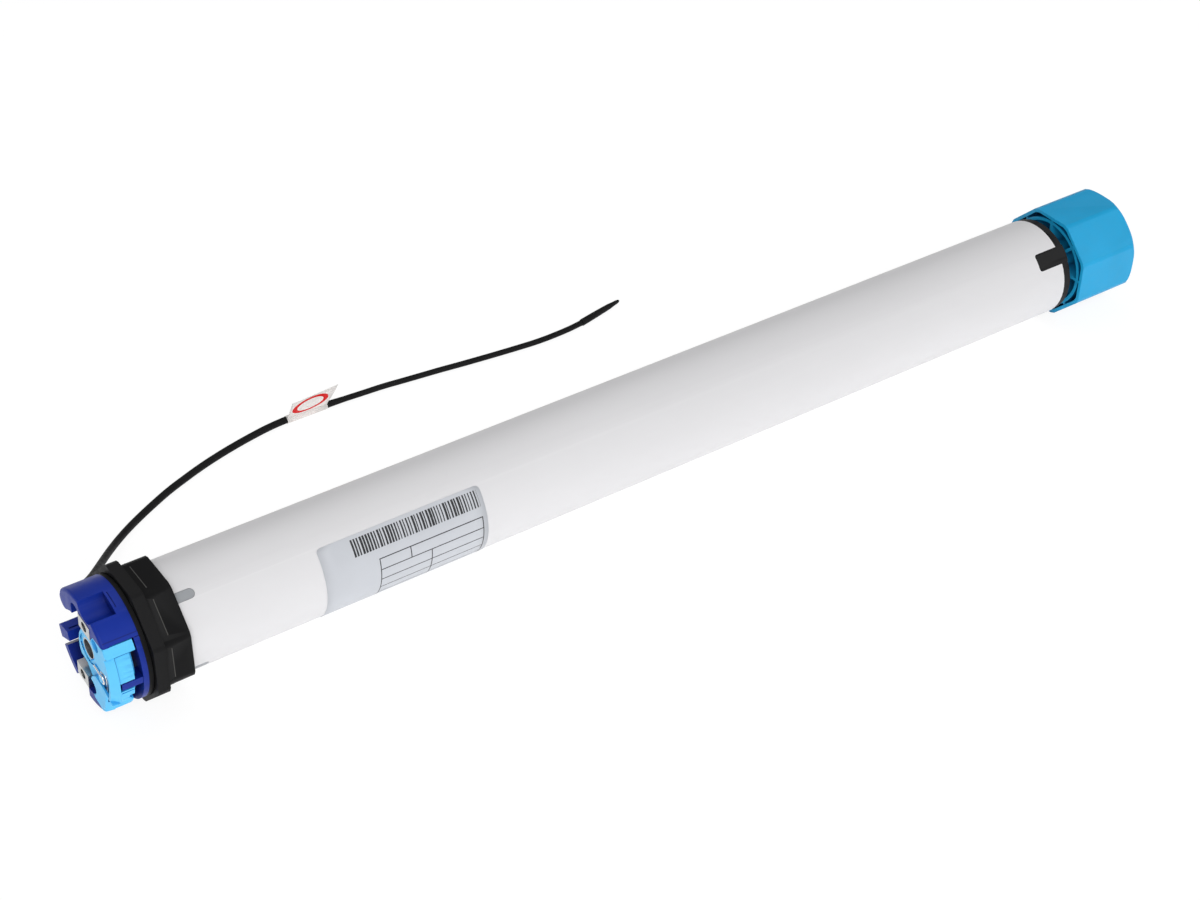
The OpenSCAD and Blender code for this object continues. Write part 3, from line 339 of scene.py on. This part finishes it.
BLACK = srgb(21, 21, 22)
MATS = {
    "white_paint": paint("white_paint", srgb(240, 239, 241)),
    "label_grey": label_paper("label_grey", srgb(197, 200, 206)),
    # dark_blue: its hollow colour is painted shade, and its line at 137.6 to 138.7 degrees is a
    # painted shadow line on the block
    "dark_blue": plastic("dark_blue", srgb(13, 45, 148), 0.42, shine=0.18,
                         painted_shade=srgb(6, 26, 104), reach=0.008,
                         lines=[((137.6, 138.7), (0.9, 15.0), 24.0, srgb(10, 30, 110))]),
    # light_blue: its hollow colour is painted shade, a more saturated cyan in the recesses
    "light_blue": plastic("light_blue", srgb(90, 194, 249), 0.42, shine=0.3,
                          painted_shade=srgb(24, 152, 222)),
    # wheel_blue: its hollow colour is painted shade on the wheel's inner edges
    "wheel_blue": plastic("wheel_blue", srgb(21, 161, 213), 0.42, shine=0.24,
                          painted_shade=srgb(3, 84, 134), reach=0.004),
    "black_plastic": plastic("black_plastic", BLACK, 0.46, wear=0.2, shine=0.07),
    # ring_black: the light line on the middle of each flat is a painted highlight, the rib edge
    # catching light
    "ring_black": plastic("ring_black", BLACK, 0.46, wear=0.2, shine=0.07,
                          lines=[(None, (24.78, 25.17), 23.9, srgb(84, 84, 82))]),
    # grey_plastic: its hollow colour is a painted gap shadow, a dark rim round the keys in the
    # tube's slots
    "grey_plastic": plastic("grey_plastic", srgb(150, 153, 157), 0.45,
                            painted_shade=srgb(52, 54, 58), reach=0.0012),
    "black_rubber": rubber("black_rubber", srgb(17, 17, 18)),
    "white_plastic": plastic("white_plastic", srgb(236, 235, 232), 0.45, spread=0.02),
    "steel": metal("steel", srgb(196, 196, 194), 0.3),
    # bright_steel: a lighter copy of steel for the clip, painted light that lifts it out of its
    # shaded pocket
    "bright_steel": metal("bright_steel", srgb(240, 240, 238), 0.2),
    "aluminium": metal("aluminium", srgb(204, 206, 208), 0.42),
    "brass": metal("brass", srgb(205, 172, 104), 0.28),
    "copper": metal("copper", srgb(188, 112, 70), 0.35, brush=(700.0, 700.0, 200.0)),
    "board_green": plastic("board_green", srgb(20, 92, 44), 0.35),
    "relay_blue": plastic("relay_blue", srgb(36, 84, 160), 0.4),
    "lead_red": plastic("lead_red", srgb(160, 30, 26), 0.45),
    "lining": rubber("lining", srgb(74, 62, 52), 0.7),
}
slot_of = {s["node"]: s["material_slot"] for s in frame["record"]["subparts"]}
for name, ob in nodes.items():
    ob.data.materials.clear()
    ob.data.materials.append(MATS[slot_of[name]])


# Pieces
body_of = {n: b for b, ns in frame["record"]["behaviour"]["bodies"].items() for n in ns}


def finish_piece(ob, node, mat=None):
    """Makes the object stand for a CAD node, on the node's body and with its slot."""
    if mat:
        ob.data.materials.append(mat)
    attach(ob, body_of[node])
    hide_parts(node)
    return ob


MERGE_DIST = 2e-6
FLAT_ANGLE, EDGE_ANGLE = math.radians(0.6), math.radians(32.0)
EDGE_SEGMENTS = 2


def rounded(node, width, mat=None):
    """A copy of a CAD node with merged faces and rounded edges, which stands for it."""
    bm = bmesh.new()
    bm.from_mesh(nodes[node].data)
    bmesh.ops.remove_doubles(bm, verts=bm.verts, dist=MERGE_DIST)
    bmesh.ops.dissolve_limit(bm, angle_limit=FLAT_ANGLE, verts=bm.verts, edges=bm.edges)
    for f in bm.faces:
        f.smooth = True
    me = bpy.data.meshes.new(node + "_round")
    bm.to_mesh(me)
    bm.free()
    if "custom_normal" in me.attributes:
        me.attributes.remove(me.attributes["custom_normal"])
    ob = collect(bpy.data.objects.new(node + "_round", me))
    bevel = ob.modifiers.new("round", "BEVEL")
    bevel.width = width
    bevel.segments = EDGE_SEGMENTS
    bevel.limit_method = "ANGLE"
    bevel.angle_limit = EDGE_ANGLE
    bevel.use_clamp_overlap = True
    normals = ob.modifiers.new("normals", "WEIGHTED_NORMAL")
    normals.keep_sharp = True
    return finish_piece(ob, node, MATS[mat or slot_of[node]])


for name, width in (("head_housing", 0.0003), ("bearing_insert", 0.00025), ("drive_wheel", 0.0004),
                    ("captive_nuts", 0.0002), ("bearing_neck", 0.0003), ("drive_end_cap", 0.0003)):
    rounded(name, width)
rounded("running_ring", 0.0004, "ring_black")


# Brake spring, which shortens as the brake lets go: a copy of the CAD coil with a mesh of its own
def spring_piece():
    ob = collect(bpy.data.objects.new("brake_spring_coil", nodes["brake_spring"].data.copy()))
    finish_piece(ob, "brake_spring")
    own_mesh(ob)


spring_piece()


def mesh_piece(name, verts, faces):
    """A smooth closed mesh from points in mm."""
    me = bpy.data.meshes.new(name)
    me.from_pydata([Vector(v) * MM for v in verts], [], faces)
    bm = bmesh.new()
    bm.from_mesh(me)
    bmesh.ops.remove_doubles(bm, verts=bm.verts, dist=1e-7)
    bmesh.ops.recalc_face_normals(bm, faces=bm.faces)
    bm.to_mesh(me)
    bm.free()
    for f in me.polygons:
        f.use_smooth = True
    return collect(bpy.data.objects.new(name, me))


# Rating label: a thin sheet round the tube with rounded corners
def label_piece():
    cols, cells = 12, 46
    plain = LABEL_WIDE - 2 * LABEL_CORNER
    near = [LABEL_CORNER * (1 - math.cos(math.radians(a))) for a in range(0, 91, 15)]
    steps = near + [LABEL_CORNER + plain * i / cells for i in range(1, cells)]
    steps += [LABEL_WIDE - d for d in reversed(near)]
    verts, faces = [], []
    for r in (LABEL_HIGH, LABEL_LOW):
        for s in steps:
            d = max(0.0, LABEL_CORNER - min(s, LABEL_WIDE - s))
            cut = LABEL_CORNER - math.sqrt(max(0.0, LABEL_CORNER * LABEL_CORNER - d * d))
            a = math.radians(LABEL_TOP + s / (2 * math.pi * TUBE_R) * 360)
            for k in range(cols + 1):
                x = LABEL_X0 + cut + (LABEL_X1 - LABEL_X0 - 2 * cut) * k / cols
                verts.append((x, r * math.cos(a), r * math.sin(a)))
    rows, span = len(steps), cols + 1
    half = rows * span
    for i in range(rows - 1):
        for k in range(cols):
            q = [i * span + k, i * span + k + 1, (i + 1) * span + k + 1, (i + 1) * span + k]
            faces.append(q)
            faces.append([v + half for v in reversed(q)])
    rim = list(range(span)) + [i * span + cols for i in range(1, rows)]
    rim += [(rows - 1) * span + k for k in range(cols - 1, -1, -1)]
    rim += [i * span for i in range(rows - 2, 0, -1)]
    for a, b in zip(rim, rim[1:] + rim[:1]):
        faces.append([a, b, b + half, a + half])
    ob = mesh_piece("rating_label_sheet", verts, faces)
    for p in ob.data.polygons:
        c = p.center
        n = p.normal
        p.use_smooth = abs(n.y * c.y + n.z * c.z) > 0.9 * math.hypot(c.y, c.z)
    return finish_piece(ob, "rating_label", MATS["label_grey"])


label_piece()


def wire_curve(name, points, radius, radii=None):
    """A round wire along points in mm; radii gives each point its own radius."""
    cu = bpy.data.curves.new(name, "CURVE")
    cu.dimensions = "3D"
    spline = cu.splines.new("BEZIER")
    spline.bezier_points.add(len(points) - 1)
    for i, (bp, p) in enumerate(zip(spline.bezier_points, points)):
        bp.co = Vector(p) * MM
        bp.handle_left_type = bp.handle_right_type = "AUTO"
        bp.radius = radii[i] / radius if radii else 1.0
    cu.bevel_depth = radius * MM
    cu.bevel_resolution = 5
    cu.resolution_u = 6
    cu.use_fill_caps = True
    return collect(bpy.data.objects.new(name, cu))


# Retaining clip: leg, loop and arm of one bent wire
def clip_piece():
    cy, cz, loop, x, pitch, turns = -13.5, -3.9, 2.2, 0.25, 1.1, 1.25
    wire_r, leg, arm, parts = 0.45, (2.6, -9.8), (5, 0.8), 30
    depth = pitch * turns
    rear = x + depth
    pts = [(rear, cy - loop + leg[0] * s, cz + leg[1] * s) for s in (1.0, 0.66, 0.33)]
    for i in range(0, parts + 1, 2):
        a = math.radians(180 - 360 * turns * i / parts)
        pts.append((rear - depth * i / parts, cy + loop * math.cos(a), cz + loop * math.sin(a)))
    pts += [(x, cy + arm[0] * s, cz + loop + arm[1] * s) for s in (0.5, 1.0)]
    ob = wire_curve("retaining_clip_round", pts, wire_r)
    return finish_piece(ob, "retaining_clip", MATS["bright_steel"])


clip_piece()

# Antenna wire along its route, thinner after its flag
ROUTE = [
    (11.3, 24.6, 4), (11.3, 28.6, 4), (12.6, 30.4, 3), (15.2, 33.4, 1), (18.8, 38, -2),
    (22.8, 43.7, -5.5), (26.9, 49.9, -9), (33.5, 59.9, -14.5), (41, 69.9, -19.2),
    (48.5, 78.2, -22.4), (56.2, 84.9, -24.2), (64, 89.8, -24.6), (71.5, 93.8, -24.6),
    (80.6, 98.2, -24.5), (89.9, 102, -24.5), (99.3, 105.4, -24.4), (108.9, 108.4, -24.4),
    (118.5, 110.8, -24.3), (128.2, 112.9, -24.3), (137.8, 114.4, -24.2), (147.2, 115.1, -24.2),
    (156.6, 115.3, -24.2), (165.9, 115.1, -24.2), (175.4, 114.7, -24.3), (184.9, 114.1, -24.3),
    (194.4, 113.4, -24.2), (203.9, 112.3, -24.2), (213.4, 111.2, -24.2), (222.9, 110, -24.1),
    (232.5, 108.7, -24.1), (242.1, 107.4, -24), (251.9, 106.3, -24), (261.7, 105.2, -23.9),
    (271.7, 104.4, -23.9), (282.1, 104.3, -23.8), (290.4, 104.8, -23.8), (297.5, 105.7, -23.8)]
WIRE_R, THIN_R = 1.6, 1.35
FLAG_X, FLAG_Y, FLAG_Z, FLAG_SIDE, LEAN = 146.0, 115.0, -24.2, 20.0, math.radians(125.0)
FLAG_END = FLAG_X + FLAG_SIDE
wire = wire_curve("antenna_wire_round", ROUTE, WIRE_R,
                  [THIN_R if p[0] > FLAG_END else WIRE_R for p in ROUTE])
finish_piece(wire, "antenna_wire", MATS["black_rubber"])

# Sleeve on the wire's end: its axis points at SLEEVE_AIM, its profile is (distance, radius)
SLEEVE_AIM, SLEEVE_GAP = Vector((324.5, 111.6, -23.6)), 0.2
SLEEVE_PROFILE = [
    (0.0, 1.36), (0.0, 1.5), (0.25, 1.64), (0.6, 1.66), (7.8, 1.6), (15.6, 1.45), (19.2, 1.32),
    (20.8, 1.16), (22.0, 1.04), (24.4, 0.9), (25.5, 0.66), (25.9, 0.36), (26.0, 0.0)]


def sleeve_piece():
    start = Vector(ROUTE[-1])
    way = (SLEEVE_AIM - start).normalized()
    side = way.cross(Vector((0, 0, 1))).normalized()
    up = side.cross(way)
    n = 24
    verts, faces = [], []
    for s, r in SLEEVE_PROFILE:
        for k in range(n):
            a = 2 * math.pi * k / n
            ray = side * math.cos(a) + up * math.sin(a)
            verts.append(start + way * (SLEEVE_GAP + s) + ray * r)
    for i in range(len(SLEEVE_PROFILE) - 1):
        for k in range(n):
            after = (k + 1) % n
            faces.append([i * n + k, i * n + after, (i + 1) * n + after, (i + 1) * n + k])
    faces.append(list(range(n)))
    ob = mesh_piece("antenna_end_sleeve_round", verts, faces)
    return finish_piece(ob, "antenna_end_sleeve", MATS["black_rubber"])


# Flag label: a white wrap round the wire and two leaves, the front one with a plain red ring
RING_X, RING_UP = FLAG_X + FLAG_SIDE / 2 - 1.4, WIRE_R + 11.1
RING_INNER, RING_OUTER = 6.3, 8.7
RING_RED = srgb(205, 14, 14)
FLAG_DARK, FLAG_LIGHT = srgb(219, 216, 213), srgb(229, 226, 224)
FLAG_DEPTH = 0.00003
WRAP_INNER, WRAP_OUTER, WRAP_SIDES = 1.62, 1.8, 20
LEAF_LOW, LEAF_HIGH = 1.2, WIRE_R + 0.1 + FLAG_SIDE
LEAF_THICK, LEAF_CELLS = 0.12, 10
PLAIN_SLOT, RING_SLOT = 0, 1


def flag_paper(name, ring):
    m = Tree(name)
    base = m.mix(m.ramp(m.noise(300.0, 4.0), *MIDDLE), FLAG_DARK, FLAG_LIGHT)
    if ring:
        x, y, z = m.place()
        up = m.math("ADD", m.math("MULTIPLY", m.math("SUBTRACT", y, FLAG_Y), math.cos(LEAN)),
                    m.math("MULTIPLY", m.math("SUBTRACT", z, FLAG_Z), math.sin(LEAN)))
        far = m.length(m.math("SUBTRACT", x, RING_X), m.math("SUBTRACT", up, RING_UP))
        cover = m.ramp(m.noise(900.0, 2.0), 0.25, 0.5, 0.9, 1.0)
        ink_and_painted_light = m.math("MULTIPLY", m.between(far, RING_INNER, RING_OUTER), cover)
        base = m.mix(ink_and_painted_light, base, RING_RED)
    m.colour(base)
    m.roughness(m.noise(200.0, 3.0), 0.62, 0.72)
    m.shine(0.06)
    m.bump(m.noise(1500.0, 3.0), 0.25, FLAG_DEPTH)
    return m.mat


def flag_piece():
    out = Vector((0, math.cos(LEAN), math.sin(LEAN)))
    across = Vector((0, -math.sin(LEAN), math.cos(LEAN)))
    base = Vector((0, FLAG_Y, FLAG_Z))
    verts, faces, slots = [], [], []

    def sheet(corners, lift, bow, slot):
        """Bent leaf: corners are (x, height) from the near low one round; lift moves it off the
        middle plane, and slot is the material of its front."""
        n = LEAF_CELLS
        at = len(verts)
        for side in (0.0, LEAF_THICK):
            for i in range(n + 1):
                for k in range(n + 1):
                    s, w = i / n, k / n
                    low = [a + (b - a) * s for a, b in zip(corners[0], corners[1])]
                    top = [a + (b - a) * s for a, b in zip(corners[3], corners[2])]
                    x, h = [a + (b - a) * w for a, b in zip(low, top)]
                    push = lift + side + bow * math.sin(math.pi * w) * (0.6 + 0.4 * s)
                    verts.append(base + Vector((x, 0, 0)) + out * h + across * push)
        half = (n + 1) ** 2
        for i in range(n):
            for k in range(n):
                a = at + i * (n + 1) + k
                q = [a, a + 1, a + n + 2, a + n + 1]
                faces.append(q)
                faces.append([v + half for v in reversed(q)])
                slots.extend((PLAIN_SLOT, slot))
        rim = list(range(n)) + [i * (n + 1) + n for i in range(n)]
        rim += [n * (n + 1) + k for k in range(n, 0, -1)] + [i * (n + 1) for i in range(n, 0, -1)]
        for a, b in zip(rim, rim[1:] + rim[:1]):
            faces.append([at + a, at + b, at + b + half, at + a + half])
            slots.append(PLAIN_SLOT)

    n = WRAP_SIDES
    wrap = [(FLAG_X, WRAP_INNER), (FLAG_X, WRAP_OUTER),
            (FLAG_END, WRAP_OUTER), (FLAG_END, WRAP_INNER)]
    for x, r in wrap:
        for k in range(n):
            a = 2 * math.pi * k / n
            ray = out * (r * math.cos(a)) + across * (r * math.sin(a))
            verts.append(base + Vector((x, 0, 0)) + ray)
    for i in range(len(wrap)):
        for k in range(n):
            after = (k + 1) % n
            j = (i + 1) % len(wrap)
            faces.append([i * n + k, i * n + after, j * n + after, j * n + k])
            slots.append(PLAIN_SLOT)
    foot = [(FLAG_X, LEAF_LOW), (FLAG_END, LEAF_LOW)]
    sheet(foot + [(FLAG_END - 2.3, LEAF_HIGH), (FLAG_X - 2.4, LEAF_HIGH - 0.6)],
          lift=0.06, bow=0.35, slot=RING_SLOT)
    sheet(foot + [(FLAG_END - 0.5, LEAF_HIGH + 2.6), (FLAG_X - 0.9, LEAF_HIGH - 1.8)],
          lift=-0.17, bow=0.3, slot=PLAIN_SLOT)
    me = bpy.data.meshes.new("antenna_flag_leaves")
    me.from_pydata([v * MM for v in verts], [], faces)
    me.materials.append(flag_paper("flag_white", False))
    me.materials.append(flag_paper("flag_ring", True))
    for p, s in zip(me.polygons, slots):
        p.material_index = s
        p.use_smooth = True
    bm = bmesh.new()
    bm.from_mesh(me)
    bmesh.ops.recalc_face_normals(bm, faces=bm.faces)
    bm.to_mesh(me)
    bm.free()
    ob = collect(bpy.data.objects.new("antenna_flag_leaves", me))
    return finish_piece(ob, "antenna_flag")


sleeve = sleeve_piece()
flag = flag_piece()


# Floor that the ring's collar and the wheel lie on, so it rises towards the smaller wheel
COLLAR_X, COLLAR_R = 19.0, 26.5
WHEEL_X, WHEEL_R = 507.0, 24.25
SLOPE = (COLLAR_R - WHEEL_R) / (WHEEL_X - COLLAR_X)
FLOOR_Z = (-COLLAR_R - SLOPE * COLLAR_X) * MM           # height at x = 0
FLOOR_HALF = 4.0
FLOOR_GREY, FLOOR_ROUGH = 0.94, 0.9
FLOOR_PLAIN = 0.84              # share of plain white for the camera; the rest keeps the shadow
GLOW, GLOW_SEEN = 0.4, 0.06     # the floor's own light on the part, and for the camera

corners = ((-FLOOR_HALF, -FLOOR_HALF), (FLOOR_HALF, -FLOOR_HALF),
           (FLOOR_HALF, FLOOR_HALF), (-FLOOR_HALF, FLOOR_HALF))
me = bpy.data.meshes.new("floor")
me.from_pydata([(x, y, FLOOR_Z + SLOPE * x) for x, y in corners], [], [(0, 1, 2, 3)])
floor = collect(bpy.data.objects.new("floor", me))
fm = Tree("floor_white")
fm.shader.inputs["Base Color"].default_value = (FLOOR_GREY, FLOOR_GREY, FLOOR_GREY, 1)
fm.shader.inputs["Roughness"].default_value = FLOOR_ROUGH
path = fm.node("ShaderNodeLightPath")
seen = fm.math("ADD", path.outputs["Is Camera Ray"], path.outputs["Is Glossy Ray"])
direct = fm.math("ADD", seen, path.outputs["Is Transmission Ray"], clamp=True)
emit = fm.node("ShaderNodeEmission")
emit.inputs["Strength"].default_value = 1.0
blend = fm.node("ShaderNodeMixShader")
fm.link(fm.math("MULTIPLY", direct, FLOOR_PLAIN), blend.inputs[0])
fm.link(fm.shader.outputs[0], blend.inputs[1])
fm.link(emit.outputs[0], blend.inputs[2])
glow = fm.node("ShaderNodeEmission")
fm.link(fm.math("MULTIPLY_ADD", direct, GLOW_SEEN - GLOW, GLOW), glow.inputs["Strength"])
both = fm.node("ShaderNodeAddShader")
fm.link(blend.outputs[0], both.inputs[0])
fm.link(glow.outputs[0], both.inputs[1])
fm.link(both.outputs[0], fm.t.nodes["Material Output"].inputs["Surface"])
floor.data.materials.append(fm.mat)

# Background: plain white for the camera, dimmer as light on the part
WORLD_LIGHT, WORLD_SEEN = 0.36, 1.0
world = bpy.data.worlds.new("world")
scene.world = world
world.use_nodes = True
world_tree = world.node_tree
background = world_tree.nodes["Background"]
background.inputs["Color"].default_value = (1, 1, 1, 1)
rays = world_tree.nodes.new("ShaderNodeLightPath")
level = world_tree.nodes.new("ShaderNodeMapRange")
level.inputs["To Min"].default_value = WORLD_LIGHT
level.inputs["To Max"].default_value = WORLD_SEEN
world_tree.links.new(rays.outputs["Is Camera Ray"], level.inputs["Value"])
world_tree.links.new(level.outputs[0], background.inputs["Strength"])


# Lamps: soft rectangles aimed at the middle of the part
def lamp(name, place, aim, size, power):
    d = bpy.data.lights.new(name, "AREA")
    d.shape = "RECTANGLE"
    d.size, d.size_y = size
    d.energy = power
    o = collect(bpy.data.objects.new(name, d))
    o.location = place
    o.rotation_euler = (Vector(aim) - Vector(place)).to_track_quat("-Z", "Y").to_euler()


MID = (0.25, 0.02, -0.01)
lamp("key", (-0.4, -1.2, 1.0), MID, (1.3, 1.0), 14.0)
lamp("top", (0.3, 0.45, 1.5), MID, (1.6, 1.2), 5.0)
lamp("right", (1.5, -0.7, 0.7), MID, (0.9, 0.9), 3.0)

scene.view_settings.view_transform = "Standard"
